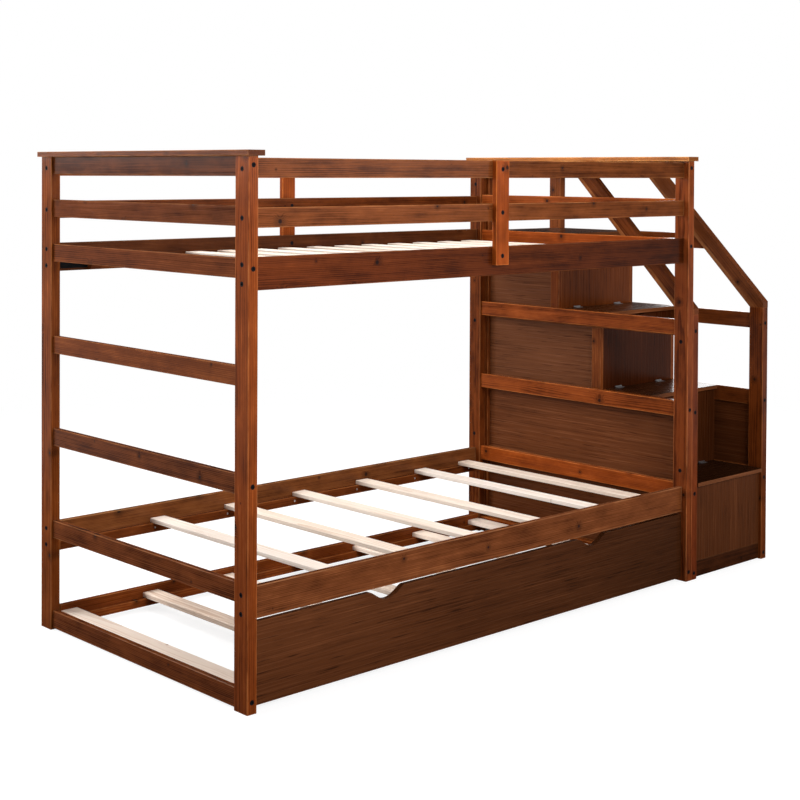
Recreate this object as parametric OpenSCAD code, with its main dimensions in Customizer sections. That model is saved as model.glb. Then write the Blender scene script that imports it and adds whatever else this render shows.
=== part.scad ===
/* [Bed frame] */
// Length over the outer faces of the head and foot posts
bed_l = 1993; // [1975:1:2080]
// Width over the outer faces of the front and back posts
bed_w = 1084; // [1070:1:1160]
// Height of the posts, up to the underside of the cap boards
post_h = 1503; // [1490:1:1560]
// Post thickness along the bed
post_t = 32; // [28:1:36]
// Post depth across the bed
post_d = 60; // [54:1:64]
// Thickness of every rail, guard and stile
rail_t = 18; // [16:1:20]
// Height of the end rails and guard rails
rail_h = 55; // [50:1:58]
// Size of the chamfer on the long edges of the boards
ease = 1; // [1:0.5:3]

/* [Cap boards] */
// Cap board width along the bed
cap_w = 57; // [52:1:64]
// Cap board thickness
cap_t = 16; // [14:1:22]
// How far a cap stands out past the posts, at its ends and outer edge
cap_out = 10; // [6:1:14]

/* [Bunks] */
// Underside of the lower bunk's side rails
lower_side_z = 249; // [246:1:256]
// Height of the lower bunk's side rails
lower_side_h = 89; // [84:1:96]
// Underside of the upper bunk's side rails, below the posts' tops
upper_side_z = 364; // [354:1:374]
// Height of the upper bunk's side rails
upper_side_h = 90; // [82:1:94]
// Underside of the lower bunk's end rail
lower_end_z = 293; // [289:1:297]
// Distance from one end rail to the next, between the bunks
end_pitch = 293.7; // [291:0.1:295]
// Underside of the end guard rail, below the posts' tops
guard_end_z = 190; // [182:1:198]
// Underside of the middle guard rail along the bed, below the posts' tops
guard_mid_z = 195; // [182:1:202]
// Gap between the top guard rail and the cap board
guard_drop = 5; // [1:1:8]
// Distance from the head to the near edge of the guard stiles
stile_x = 966; // [900:1:1050]
// Width of the guard stiles
stile_w = 58; // [50:1:64]

/* [Slats] */
// Slat width
slat_w = 60; // [50:1:70]
// Slat thickness
slat_t = 14; // [12:1:16]
// Ledger width, across the bed
ledger_w = 20; // [16:1:24]
// Ledger height
ledger_h = 30; // [26:1:34]
// Number of slats in the upper bunk
upper_slat_n = 14; // [10:1:14]
// Number of slats in the lower bunk
lower_slat_n = 7; // [6:1:10]
// Number of slats in the trundle
trundle_slat_n = 7; // [6:1:10]
// Gap between the head posts and the upper bunk's first slat
upper_head_gap = 94; // [84:1:104]
// Gap between the upper bunk's last slat and the foot posts
upper_foot_gap = 33; // [10:1:44]
// Gap between the head posts and the lower bunk's first slat
lower_head_gap = 48; // [38:1:58]
// Gap between the lower bunk's last slat and the foot posts
lower_foot_gap = 43; // [20:1:54]
// Distance between the lower bunk's last two slats
lower_last_pitch = 243; // [200:1:280]

/* [Trundle] */
// Clearance between the trundle and each post
trundle_gap = 3; // [2:1:6]
// Clearance between the trundle's boards and the floor
trundle_z = 12; // [10:1:14]
// Height of the trundle's front panel
trundle_h = 229; // [215:1:232]
// Top of the trundle's back rail above the floor
trundle_back_z = 72; // [64:1:90]
// Depth of the space inside the trundle, from panel to back rail
trundle_in = 986; // [970:1:990]
// Width of a finger scoop in the panel's top edge
scoop_w = 138; // [110:1:150]
// Depth of a finger scoop
scoop_d = 30; // [24:1:34]
// Distance from the middle of the panel to the middle of a scoop
scoop_x = 467; // [400:1:520]
// Radius of the castor wheels
wheel_r = 18; // [17:0.5:18]
// Width of the castor wheels
wheel_w = 16; // [12:1:18]
// Distance of the castors from the front panel and from the back rail
castor_inset = 90; // [80:1:120]

/* [Staircase] */
// Width of the staircase unit along the bed
stair_w = 474; // [440:1:500]
// Depth of the staircase unit across the bed
stair_d = 1070; // [1062:1:1076]
// How far the staircase stands in front of the bed's posts
stair_lead = 0; // [0:1:9]
// Top of the first tread above the floor
step_first = 346; // [342:1:350]
// Rise from one tread to the next
step_rise = 292.5; // [291:0.5:293]
// Run from one riser to the next
step_run = 209; // [204:1:212]
// Height of the staircase's level rails, and width of its handrails
stair_rail_h = 58; // [54:1:60]
// Set-back of the first riser from the staircase's front
riser_back = 12; // [12:1:22]
// Thickness of the lids and the platform
tread_t = 15; // [12:1:16]
// Thickness of the risers and the bin floors
riser_t = 12; // [10:1:14]
// Overhang of a lid in front of its riser
nose = 15; // [10:1:16]
// Thickness of the side panels
panel_t = 6; // [5:1:8]
// Width of the short stiles in the side frames
stair_stile_w = 42; // [36:1:48]
// Height of the staircase's front posts
stair_post_h = 954; // [946:1:960]
// Angle of the slanting handrails above the horizontal
rail_angle = 45.3; // [43:0.1:47]
// Side of the square cleats that carry floors and platform
cleat = 18; // [16:1:20]
// Width of the finger gap under the upper two lids
lift_w = 110; // [90:1:120]
// Depth of the finger gap
lift_d = 9; // [7:1:11]

/* [Hardware] */
// Radius of the bolt heads
bolt_head_r = 7; // [6:0.5:7.5]
// Height of the bolt heads, sunk flush in the posts
bolt_head_h = 3; // [2.5:0.5:4]
// Radius of the bolt shanks
bolt_r = 3; // [2.5:0.5:3.5]
// Height of the lowest bolts between bed and staircase
link_low_z = 395; // [380:1:410]
// Height of the middle bolts between bed and staircase
link_mid_z = 857; // [845:1:870]
// Drop from the staircase's top to the upper bolt between its back post and the bed
link_top_drop = 87; // [75:1:95]
// Length of the hinge leaves
leaf_l = 36; // [28:1:40]
// Width of the hinge leaves
leaf_w = 16; // [12:1:22]
// Thickness of the hinge leaves
leaf_t = 1.2; // [1:0.1:1.4]
// Radius of the hinge knuckles
knuckle_r = 3; // [2.8:0.1:3.2]
// Radius of the hinge pins
pin_r = 1.5; // [1.3:0.1:1.6]
// Distance of a hinge from the middle of its lid
hinge_x = 125; // [90:1:140]

/* [Hidden] */
$fn = 32;
bolt_sides = 16;

// Finishes
WALNUT = "#6e3d22";
WALNUT_DARK = "#4a2817";
PINE = "#e8d8c0";
BLACK = "#1b1b1d";
STEEL = "#b9bcc0";
GREY = "#55585c";

// A running fit, a pin in its fixed knuckles and a bolt in its bore
run_gap = 0.05;
pin_gap = 0.02;
bolt_gap = 0.2;
// Between curved faces that move past each other, and under a closed lid
face_gap = 0.3;
rest_gap = 0.2;
// At each side of a lid, at each end of a slat, and under the upper ledgers
lid_gap = 2;
slat_gap = 1;
rest_lift = 2;
// Between a bolt's end and the end of its bore
bolt_end_gap = 2;

// Levels
rail_in = (post_d - rail_t) / 2;
rail_inset = (post_t - rail_t) / 2;
bed_inner_y = rail_in + rail_t;
upper_rail_z = post_h - upper_side_z;
end_guard_z = post_h - guard_end_z;
mid_guard_z = post_h - guard_mid_z;
guard_top_z = post_h - guard_drop - rail_h;
top_end_z = post_h - rail_h;
base_rail_z = 5;
bunk_end_drop = 2;
end_rail_zs = [
    base_rail_z,
    for (i = [0:2]) lower_end_z + i * end_pitch,
    upper_rail_z + upper_side_h - bunk_end_drop - rail_h,
    end_guard_z,
    top_end_z
];
bolted_end_rails = [0, 2, 4, 6];
// The bolts in the top corners sit this far off the rails' centre lines, so that they miss each other
top_bolt_shift = 3;
function end_bolt_lift(i) = rail_h / 2 + (i == 6 ? top_bolt_shift : 0);
end_bolt_zs = [for (i = bolted_end_rails) end_rail_zs[i] + end_bolt_lift(i)];
guard_bolt_z = guard_top_z + rail_h / 2 - top_bolt_shift;
side_bolt_step = 26;
function pair_zs(z, h) = [z + h / 2 - side_bolt_step, z + h / 2 + side_bolt_step];
side_bolt_zs = concat(
    pair_zs(lower_side_z, lower_side_h),
    pair_zs(upper_rail_z, upper_side_h),
    [mid_guard_z + rail_h / 2, guard_bolt_z]
);
bolt_grip = 32;
bore_r = bolt_r + bolt_gap;

// Bolts that join the foot posts to the staircase
stair_top_z = post_h - guard_drop;
link_zs_front = [link_low_z, link_mid_z];
link_zs_back = concat(link_zs_front, [stair_top_z - link_top_drop]);
link_grip = 20;

// Staircase
stair_y = -stair_lead;
inner_x = bed_l;
outer_x = bed_l + stair_w - post_t;
stair_base_z = 2;
function level_z(k) = k == 0 ? stair_base_z + stair_rail_h : step_first + (k - 1) * step_rise;
function riser_y(k) = riser_back + (k - 1) * step_run;
back_y = stair_d - post_d;
wide_x0 = inner_x + rail_inset + rail_t;
wide_x1 = outer_x + rail_inset;
narrow_x0 = inner_x + post_t;
narrow_x1 = outer_x;
stair_mid_x = (narrow_x0 + narrow_x1) / 2;
stair_bolt_drop = 37;
stair_bolt_zs = [for (k = [0:3]) level_z(k) - stair_bolt_drop];
stair_back_bolt_zs = concat(stair_bolt_zs, [level_z(4) - stair_bolt_drop]);

// Trundle
trundle_x0 = post_t + trundle_gap;
trundle_x1 = bed_l - post_t - trundle_gap;
trundle_y0 = rail_in;
trundle_in_y = trundle_y0 + rail_t;
trundle_back_y = trundle_in_y + trundle_in;
trundle_deck_z = 38;
trundle_slat_t = 16;
axle_r = 4;
axle_flange_r = 7;
axle_flange_t = 1.6;
castor_ys = [trundle_in_y + castor_inset, trundle_back_y - castor_inset];

// The bed is drawn from the front corner of the head post, then centred over the origin
centre_x = (bed_l + stair_w - cap_out) / 2;

module placed() {
    translate([-centre_x, -bed_w / 2, 0])
        children();
}

module staired() {
    placed()
        translate([0, stair_y, 0])
            children();
}

module flipped(way, on) {
    if (on) {
        mirror(way)
            children();
    } else {
        children();
    }
}

// Puts a drawing of the head's front corner at any of the bed's four corners
module corner(at_foot, at_back) {
    translate([at_foot ? bed_l : 0, at_back ? bed_w : 0, 0])
        flipped([1, 0, 0], at_foot)
            flipped([0, 1, 0], at_back)
                children();
}

// Outline of a board with chamfered corners
function eased(w, h, e) = [
    [e, 0], [w - e, 0], [w, e], [w, h - e],
    [w - e, h], [e, h], [0, h - e], [0, e]
];

module board_x(size, e = ease) {
    rotate([90, 0, 90])
        linear_extrude(size.x)
            polygon(eased(size.y, size.z, e));
}

module board_y(size, e = ease) {
    translate([0, size.y, 0])
        rotate([90, 0, 0])
            linear_extrude(size.y)
                polygon(eased(size.x, size.z, e));
}

module board_z(size, e = ease) {
    linear_extrude(size.z)
        polygon(eased(size.x, size.y, e));
}

// Extrudes an outline drawn in the staircase's side plane, where x runs back and y runs up
module side_plate(t) {
    rotate([90, 0, 90])
        linear_extrude(t)
            children();
}

module along_x(r, l) {
    rotate([0, 90, 0])
        cylinder(r = r, h = l);
}

module along_y(r, l) {
    rotate([-90, 0, 0])
        cylinder(r = r, h = l);
}

// A stepped hole for a bolt whose head is sunk flush
module bolt_hole(l) {
    along_y(bore_r, l);
    translate([0, -1, 0])
        along_y(bolt_head_r + bolt_gap, bolt_head_h + 1);
}

// A bolt that points along +Y from the face its head is sunk in
module bolt(l) {
    socket_r = bolt_head_r * 0.45;
    socket_d = bolt_head_h * 0.7;
    difference() {
        union() {
            along_y(bolt_head_r, bolt_head_h, $fn = bolt_sides);
            along_y(bolt_r, l, $fn = bolt_sides);
        }
        translate([0, -1, 0])
            along_y(socket_r, socket_d + 1, $fn = 6);
    }
}

// Bolt places on a corner post: end-rail bolts enter from the side, side-rail bolts from the end
module at_end_bolts() {
    for (z = end_bolt_zs) {
        translate([post_t / 2, 0, z])
            children();
    }
}

module at_side_bolts() {
    for (z = side_bolt_zs) {
        translate([0, post_d / 2, z])
            rotate([0, 0, -90])
                children();
    }
}

module at_links(zs) {
    for (z = zs) {
        translate([post_t, post_d / 2, z])
            rotate([0, 0, 90])
                children();
    }
}

module bed_post(link_zs = []) {
    difference() {
        board_z([post_t, post_d, post_h]);
        at_end_bolts()
            bolt_hole(post_d + 1);
        at_side_bolts()
            bolt_hole(post_t + 1);
        at_links(link_zs)
            bolt_hole(post_t + 1);
    }
}

module head_post_front() {
    color(WALNUT)
        placed()
            corner(false, false)
                bed_post();
}

module head_post_back() {
    color(WALNUT)
        placed()
            corner(false, true)
                bed_post();
}

module foot_post_front() {
    color(WALNUT)
        placed()
            corner(true, false)
                bed_post(link_zs_front);
}

module foot_post_back() {
    color(WALNUT)
        placed()
            corner(true, true)
                bed_post(link_zs_back);
}

module cap_board() {
    translate([-cap_out, -cap_out, post_h])
        board_y([cap_w, bed_w + 2 * cap_out, cap_t]);
}

module head_cap() {
    color(WALNUT)
        placed()
            cap_board();
}

module foot_cap() {
    color(WALNUT)
        placed()
            corner(true, false)
                cap_board();
}

// The seven cross rails of one end frame, four of them bored at both ends for bolts
module end_rails() {
    for (i = [0:len(end_rail_zs) - 1]) {
        translate([rail_inset, post_d, end_rail_zs[i]])
            difference() {
                board_y([rail_t, bed_w - 2 * post_d, rail_h]);
                if (len(search(i, bolted_end_rails)) > 0) {
                    for (y = [-1, bed_w - 2 * post_d - bolt_grip]) {
                        translate([rail_t / 2, y, end_bolt_lift(i)])
                            along_y(bore_r, bolt_grip + 1);
                    }
                }
            }
    }
}

module head_end_rails() {
    color(WALNUT)
        placed()
            end_rails();
}

module foot_end_rails() {
    color(WALNUT)
        placed()
            corner(true, false)
                end_rails();
}

// A long rail between the posts of one side, bored at both ends
module long_rail(z, h, bolt_zs) {
    span = bed_l - 2 * post_t;
    difference() {
        translate([post_t, rail_in, z])
            board_x([span, rail_t, h]);
        for (x = [post_t - 1, bed_l - post_t - bolt_grip], bz = bolt_zs) {
            translate([x, post_d / 2, bz])
                along_x(bore_r, bolt_grip + 1);
        }
        stile_bolt_holes();
    }
}

module upper_side_rail() {
    long_rail(upper_rail_z, upper_side_h, pair_zs(upper_rail_z, upper_side_h));
}

module lower_side_rail() {
    long_rail(lower_side_z, lower_side_h, pair_zs(lower_side_z, lower_side_h));
}

module upper_side_rail_front() {
    color(WALNUT)
        placed()
            upper_side_rail();
}

module upper_side_rail_back() {
    color(WALNUT)
        placed()
            corner(false, true)
                upper_side_rail();
}

module lower_side_rail_front() {
    color(WALNUT)
        placed()
            lower_side_rail();
}

module lower_side_rail_back() {
    color(WALNUT)
        placed()
            corner(false, true)
                lower_side_rail();
}

// Guard rails, with a stile on the outside that ties them to the side rail
stile_rise = 32;
stile_z = upper_rail_z + stile_rise;
stile_y = rail_in - rail_t;
stile_bolt_zs = [
    (stile_z + upper_rail_z + upper_side_h) / 2,
    mid_guard_z + rail_h / 2,
    guard_top_z + rail_h / 2
];

module at_stile_bolts() {
    for (z = stile_bolt_zs) {
        translate([stile_x + stile_w / 2, stile_y, z])
            children();
    }
}

module stile_bolt_holes() {
    at_stile_bolts()
        through_bolt_hole();
}

// A hole with a sunk seat on both faces
module through_bolt_hole() {
    both = 2 * rail_t;
    bolt_hole(both + 1);
    translate([0, both, 0])
        mirror([0, 1, 0])
            bolt_hole(both);
}

module guard_rails() {
    long_rail(mid_guard_z, rail_h, [mid_guard_z + rail_h / 2]);
    long_rail(guard_top_z, rail_h, [guard_bolt_z]);
}

module front_guard_rails() {
    color(WALNUT)
        placed()
            guard_rails();
}

module back_guard_rails() {
    color(WALNUT)
        placed()
            corner(false, true)
                guard_rails();
}

module guard_stile() {
    difference() {
        translate([stile_x, stile_y, stile_z])
            board_z([stile_w, rail_t, guard_top_z + rail_h - stile_z]);
        stile_bolt_holes();
    }
}

module guard_stiles() {
    color(WALNUT)
        placed()
            for (at_back = [false, true]) {
                corner(false, at_back)
                    guard_stile();
            }
}

// Ledgers inside the side rails; the upper ones stop short to clear the corner brackets
bracket_l = 110;
bracket_h = 24;
bracket_t = 2.5;
bracket_gap = 4;
upper_ledger_z = upper_rail_z + rest_lift;
upper_slat_z = upper_ledger_z + ledger_h;
lower_slat_z = lower_side_z + ledger_h;

module ledger(z, inset) {
    translate([post_t + inset, bed_inner_y, z])
        board_x([bed_l - 2 * (post_t + inset), ledger_w, ledger_h]);
}

module slat_ledgers() {
    color(WALNUT)
        placed()
            for (at_back = [false, true]) {
                corner(false, at_back) {
                    ledger(lower_side_z, 0);
                    ledger(upper_ledger_z, bracket_l + bracket_gap);
                }
            }
}

slat_ease = 1.5;

// A row of cross slats with its first and last slat at the given places
module slat_row(n, first_x, last_x, y0, y1, z, t) {
    step = (last_x - first_x) / max(n - 1, 1);
    for (i = [0:n - 1]) {
        translate([first_x + i * step, y0, z])
            board_y([slat_w, y1 - y0, t], slat_ease);
    }
}

module upper_slats() {
    color(PINE)
        placed()
            slat_row(
                upper_slat_n, post_t + upper_head_gap, bed_l - post_t - upper_foot_gap - slat_w,
                bed_inner_y + slat_gap, bed_w - bed_inner_y - slat_gap,
                upper_slat_z, slat_t
            );
}

// The lower bunk's last slat stands closer to its neighbour than the others
module lower_slats() {
    y0 = bed_inner_y + slat_gap;
    y1 = bed_w - bed_inner_y - slat_gap;
    last_x = bed_l - post_t - lower_foot_gap - slat_w;
    color(PINE)
        placed() {
            slat_row(
                lower_slat_n - 1, post_t + lower_head_gap, last_x - lower_last_pitch,
                y0, y1, lower_slat_z, slat_t
            );
            slat_row(1, last_x, last_x, y0, y1, lower_slat_z, slat_t);
        }
}

// A steel angle in each corner of the upper bunk, on the side rail and the post, under the slats
module corner_bracket() {
    leg = post_d - bed_inner_y;
    z = upper_slat_z - bracket_h;
    screw_r = 2.5;
    difference() {
        translate([post_t, bed_inner_y, z])
            union() {
                cube([bracket_l, bracket_t, bracket_h]);
                cube([bracket_t, leg, bracket_h]);
            }
        for (x = [0.35, 0.58]) {
            translate([post_t + bracket_l * x, bed_inner_y - 1, z + bracket_h / 2])
                along_y(screw_r, bracket_t + 2);
        }
    }
}

module corner_brackets() {
    color(BLACK)
        placed()
            for (at_foot = [false, true], at_back = [false, true]) {
                corner(at_foot, at_back)
                    corner_bracket();
            }
}

// A bolt with a head on both faces of a stile and its rail
module through_bolt() {
    bolt(2 * rail_t);
    translate([0, 2 * rail_t - bolt_head_h, 0])
        along_y(bolt_head_r, bolt_head_h, $fn = bolt_sides);
}

module frame_bolts() {
    color(BLACK)
        placed() {
            for (at_foot = [false, true], at_back = [false, true]) {
                corner(at_foot, at_back) {
                    at_end_bolts()
                        bolt(post_d + bolt_grip - bolt_end_gap);
                    at_side_bolts()
                        bolt(post_t + bolt_grip - bolt_end_gap);
                    if (at_foot) {
                        at_links(at_back ? link_zs_back : link_zs_front)
                            bolt(post_t + link_grip - bolt_end_gap);
                    }
                }
            }
            for (at_back = [false, true]) {
                corner(false, at_back)
                    at_stile_bolts()
                        through_bolt();
            }
            translate([0, stair_y, 0]) {
                at_stair_front_bolts()
                    bolt(post_d + bolt_grip - bolt_end_gap);
                at_stair_back_bolts()
                    bolt(post_d + bolt_grip - bolt_end_gap);
            }
        }
}

// Staircase bolt places, on the front and back faces of its posts
module at_stair_front_bolts() {
    for (x = [inner_x, outer_x], z = stair_bolt_zs) {
        translate([x + post_t / 2, 0, z])
            children();
    }
}

module at_stair_back_bolts() {
    for (x = [inner_x, outer_x], z = stair_back_bolt_zs) {
        translate([x + post_t / 2, stair_d, z])
            mirror([0, 1, 0])
                children();
    }
}

// Blind holes in the inner staircase posts for the bolts from the bed's foot posts
module link_holes() {
    for (z = link_zs_front) {
        translate([bed_l - 1, post_d / 2 - stair_y, z])
            along_x(bore_r, link_grip + 1);
    }
    for (z = link_zs_back) {
        translate([bed_l - 1, bed_w - post_d / 2 - stair_y, z])
            along_x(bore_r, link_grip + 1);
    }
}

module stair_front_post(x) {
    difference() {
        translate([x, 0, 0])
            board_z([post_t, post_d, stair_post_h]);
        at_stair_front_bolts()
            bolt_hole(post_d + 1);
        link_holes();
    }
}

module stair_back_post(x) {
    difference() {
        translate([x, back_y, 0])
            board_z([post_t, post_d, stair_top_z]);
        at_stair_back_bolts()
            bolt_hole(post_d + 1);
        link_holes();
    }
}

module stair_post_inner_front() {
    color(WALNUT)
        staired()
            stair_front_post(inner_x);
}

module stair_post_outer_front() {
    color(WALNUT)
        staired()
            stair_front_post(outer_x);
}

module stair_post_inner_back() {
    color(WALNUT)
        staired()
            stair_back_post(inner_x);
}

module stair_post_outer_back() {
    color(WALNUT)
        staired()
            stair_back_post(outer_x);
}

// The handrail rises from the front post's top and is mitred into the level top rail
slant = tan(rail_angle);
rail_rise = stair_rail_h / cos(rail_angle);
mitre_low_y = post_d + (stair_top_z - stair_rail_h - stair_post_h) / slant;
mitre_high_y = post_d + (stair_top_z - rail_rise - stair_post_h) / slant;
function under_rail_y(z) = post_d + (z - stair_post_h) / slant;

module handrail(x) {
    translate([x, 0, 0])
        side_plate(post_t)
            polygon([
                [0, stair_post_h],
                [post_d, stair_post_h],
                [mitre_low_y, stair_top_z - stair_rail_h],
                [mitre_high_y, stair_top_z],
                [0, stair_post_h + rail_rise - post_d * slant]
            ]);
}

module top_rail(x) {
    translate([x, 0, 0])
        side_plate(post_t)
            polygon([
                [mitre_low_y, stair_top_z - stair_rail_h],
                [back_y, stair_top_z - stair_rail_h],
                [back_y, stair_top_z],
                [mitre_high_y, stair_top_z]
            ]);
}

module inner_handrail() {
    color(WALNUT)
        staired()
            handrail(inner_x);
}

module outer_handrail() {
    color(WALNUT)
        staired()
            handrail(outer_x);
}

module inner_top_rail() {
    color(WALNUT)
        staired()
            top_rail(inner_x);
}

module outer_top_rail() {
    color(WALNUT)
        staired()
            top_rail(outer_x);
}

// Four level rails between the posts of a side frame, and one at platform height under the handrail
module side_rails(x) {
    span = back_y - post_d;
    rail_bore_ys = [-1, span - bolt_grip];
    translate([x + rail_inset, 0, 0]) {
        for (k = [0:3]) {
            translate([0, post_d, level_z(k) - stair_rail_h])
                difference() {
                    board_y([rail_t, span, stair_rail_h]);
                    for (y = rail_bore_ys) {
                        translate([rail_t / 2, y, stair_rail_h - stair_bolt_drop])
                            along_y(bore_r, bolt_grip + 1);
                    }
                }
        }
        platform_rail();
    }
}

module platform_rail() {
    low = level_z(4) - stair_rail_h;
    difference() {
        side_plate(rail_t)
            polygon([
                [under_rail_y(low), low],
                [back_y, low],
                [back_y, level_z(4)],
                [under_rail_y(level_z(4)), level_z(4)]
            ]);
        translate([rail_t / 2, back_y - bolt_grip, level_z(4) - stair_bolt_drop])
            along_y(bore_r, bolt_grip + 1);
    }
}

module inner_side_rails() {
    color(WALNUT)
        staired()
            side_rails(inner_x);
}

module outer_side_rails() {
    color(WALNUT)
        staired()
            side_rails(outer_x);
}

// Short stiles that close the front edge of the upper side panels, flush with risers 3 and 4
module frame_stile(x, k) {
    translate([x + rail_inset, riser_y(k), level_z(k - 1)])
        board_z([rail_t, stair_stile_w, step_rise - stair_rail_h]);
}

module side_frame_stiles() {
    color(WALNUT)
        staired()
            for (x = [inner_x, outer_x], k = [3, 4]) {
                frame_stile(x, k);
            }
}

// Four panels in each side frame; the upper two stop at the stiles
module side_panels(x) {
    fronts = [post_d, post_d, riser_y(3) + stair_stile_w, riser_y(4) + stair_stile_w];
    translate([x + (post_t - panel_t) / 2, 0, 0])
        for (k = [0:3]) {
            translate([0, fronts[k], level_z(k)])
                cube([panel_t, back_y - fronts[k], level_z(k + 1) - stair_rail_h - level_z(k)]);
        }
}

module inner_side_panels() {
    color(WALNUT_DARK)
        staired()
            side_panels(inner_x);
}

module outer_side_panels() {
    color(WALNUT_DARK)
        staired()
            side_panels(outer_x);
}

module kick_board() {
    color(WALNUT)
        staired()
            translate([narrow_x0, riser_back, stair_base_z])
                board_x([narrow_x1 - narrow_x0, rail_t, stair_rail_h]);
}

// A smooth dip that runs level into the edge at both ends
function dip(w, d, n = 24) = [
    for (i = [0:n]) let (u = 2 * i / n - 1)
        [u * w / 2, -d * pow(1 - u * u, 1.5)]
];

module dip_outline(w, d) {
    polygon(concat(dip(w, d), [[w / 2, 1], [-w / 2, 1]]));
}

// A riser from the floor of the bin in front of it up to its lid, with a finger gap under lids 2 and 3
module riser(k) {
    x0 = k == 1 ? narrow_x0 : wide_x0;
    x1 = k == 1 ? narrow_x1 : wide_x1;
    z0 = k == 1 ? level_z(0) : level_z(k - 2) - riser_t;
    z1 = level_z(k) - tread_t - (k < 4 ? rest_gap : 0);
    difference() {
        translate([x0, riser_y(k), z0])
            cube([x1 - x0, riser_t, z1 - z0]);
        if (k == 2 || k == 3) {
            translate([stair_mid_x, riser_y(k) + riser_t + 1, z1])
                rotate([90, 0, 0])
                    linear_extrude(riser_t + 2)
                        dip_outline(lift_w, lift_d);
        }
    }
}

module riser_1() {
    color(WALNUT_DARK)
        staired()
            riser(1);
}

module riser_2() {
    color(WALNUT_DARK)
        staired()
            riser(2);
}

module riser_3() {
    color(WALNUT_DARK)
        staired()
            riser(3);
}

module riser_4() {
    color(WALNUT_DARK)
        staired()
            riser(4);
}

// A flip-up lid, hinged along its back edge at the next riser
lid_back_gap = leaf_t + face_gap;

module step_lid(k) {
    x0 = (k == 1 ? narrow_x0 : wide_x0) + lid_gap;
    x1 = (k == 1 ? narrow_x1 : wide_x1) - lid_gap;
    y0 = riser_y(k) - nose;
    y1 = riser_y(k + 1) - lid_back_gap;
    translate([x0, y0, level_z(k) - tread_t])
        board_x([x1 - x0, y1 - y0, tread_t], 1);
}

module step_lid_1() {
    color(WALNUT_DARK)
        staired()
            step_lid(1);
}

module step_lid_2() {
    color(WALNUT_DARK)
        staired()
            step_lid(2);
}

module step_lid_3() {
    color(WALNUT_DARK)
        staired()
            step_lid(3);
}

module platform() {
    y0 = riser_y(4) - nose;
    y1 = back_y + rail_in;
    color(WALNUT_DARK)
        staired()
            difference() {
                translate([wide_x0, y0, level_z(4) - tread_t])
                    board_x([wide_x1 - wide_x0, y1 - y0, tread_t], 1);
                for (x = [inner_x, outer_x]) {
                    translate([x, back_y, 0])
                        cube([post_t, post_d, stair_top_z]);
                }
            }
}

// Bin floors, level with the side rails that carry their cleats
module bin_floors() {
    color(WALNUT_DARK)
        staired()
            for (k = [1:3]) {
                x0 = k == 1 ? narrow_x0 : wide_x0;
                x1 = k == 1 ? narrow_x1 : wide_x1;
                y0 = k == 1 ? riser_back + rail_t : riser_y(k) + riser_t;
                translate([x0, y0, level_z(k - 1) - riser_t])
                    cube([x1 - x0, riser_y(k + 1) - y0, riser_t]);
            }
}

// Cleats on the side rails, under the bin floors and the platform
module cleat_pair(y0, y1, top_z) {
    for (x = [wide_x0, wide_x1 - cleat]) {
        translate([x, y0, top_z - cleat])
            cube([cleat, y1 - y0, cleat]);
    }
}

module stair_cleats() {
    color(WALNUT_DARK)
        staired() {
            for (k = [1:3]) {
                y0 = k == 1 ? post_d : riser_y(k) + riser_t;
                cleat_pair(y0, riser_y(k + 1) + riser_t, level_z(k - 1) - riser_t);
            }
            cleat_pair(riser_y(4) + riser_t, back_y, level_z(4) - tread_t);
        }
}

// Rails across the back, between the two back posts
module stair_back_rails() {
    color(WALNUT)
        staired()
            for (top_z = [level_z(0), level_z(2), level_z(4), stair_top_z]) {
                translate([narrow_x0, back_y + rail_in, top_z - stair_rail_h])
                    board_x([narrow_x1 - narrow_x0, rail_t, stair_rail_h]);
            }
}

// Butt hinges: the knuckles lie in the corner between a lid's top and the next riser. One leaf lies
// on the lid, the other goes down between the lid's back edge and the riser
hinge_off = knuckle_r + face_gap;
mid_knuckle_l = leaf_l / 3;

module at_hinges(k) {
    for (side = [-1, 1]) {
        translate([stair_mid_x + side * hinge_x, riser_y(k + 1) - hinge_off, level_z(k) + hinge_off])
            children();
    }
}

module knuckle(x0, x1, bore) {
    difference() {
        children();
        translate([x0 - 1, 0, 0])
            along_x(bore, x1 - x0 + 2);
    }
}

module lid_leaf() {
    half = mid_knuckle_l / 2 - face_gap;
    knuckle(-half, half, pin_r + run_gap) {
        union() {
            translate([-half, 0, 0])
                along_x(knuckle_r, 2 * half);
            translate([-half, -leaf_w / 2, -hinge_off])
                cube([2 * half, leaf_w / 2, leaf_t]);
            translate([-leaf_l / 2, -leaf_w, -hinge_off])
                cube([leaf_l, leaf_w - hinge_off, leaf_t]);
        }
    }
}

module riser_leaf() {
    half = mid_knuckle_l / 2;
    end = leaf_l / 2;
    difference() {
        union() {
            for (x = [-end, half]) {
                translate([x, 0, 0])
                    along_x(knuckle_r, end - half);
                translate([x, hinge_off - leaf_t, -leaf_w / 2])
                    cube([end - half, leaf_t, leaf_w / 2]);
            }
            translate([-end, hinge_off - leaf_t, -leaf_w])
                cube([leaf_l, leaf_t, leaf_w - hinge_off]);
        }
        translate([-end - 1, 0, 0])
            along_x(pin_r + pin_gap, leaf_l + 2);
    }
}

module hinge_pin() {
    cap_l = 1;
    translate([-leaf_l / 2 - cap_l, 0, 0]) {
        along_x(pin_r, leaf_l + 2 * cap_l);
        along_x(knuckle_r - 0.5, cap_l);
    }
    translate([leaf_l / 2, 0, 0])
        along_x(knuckle_r - 0.5, cap_l);
}

module riser_hinge_leaves() {
    color(STEEL)
        staired()
            for (k = [1:3]) {
                at_hinges(k) {
                    riser_leaf();
                    hinge_pin();
                }
            }
}

module lid_hinge_leaves(k) {
    color(STEEL)
        staired()
            at_hinges(k)
                lid_leaf();
}

module lid_hinge_leaves_1() {
    lid_hinge_leaves(1);
}

module lid_hinge_leaves_2() {
    lid_hinge_leaves(2);
}

module lid_hinge_leaves_3() {
    lid_hinge_leaves(3);
}

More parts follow.
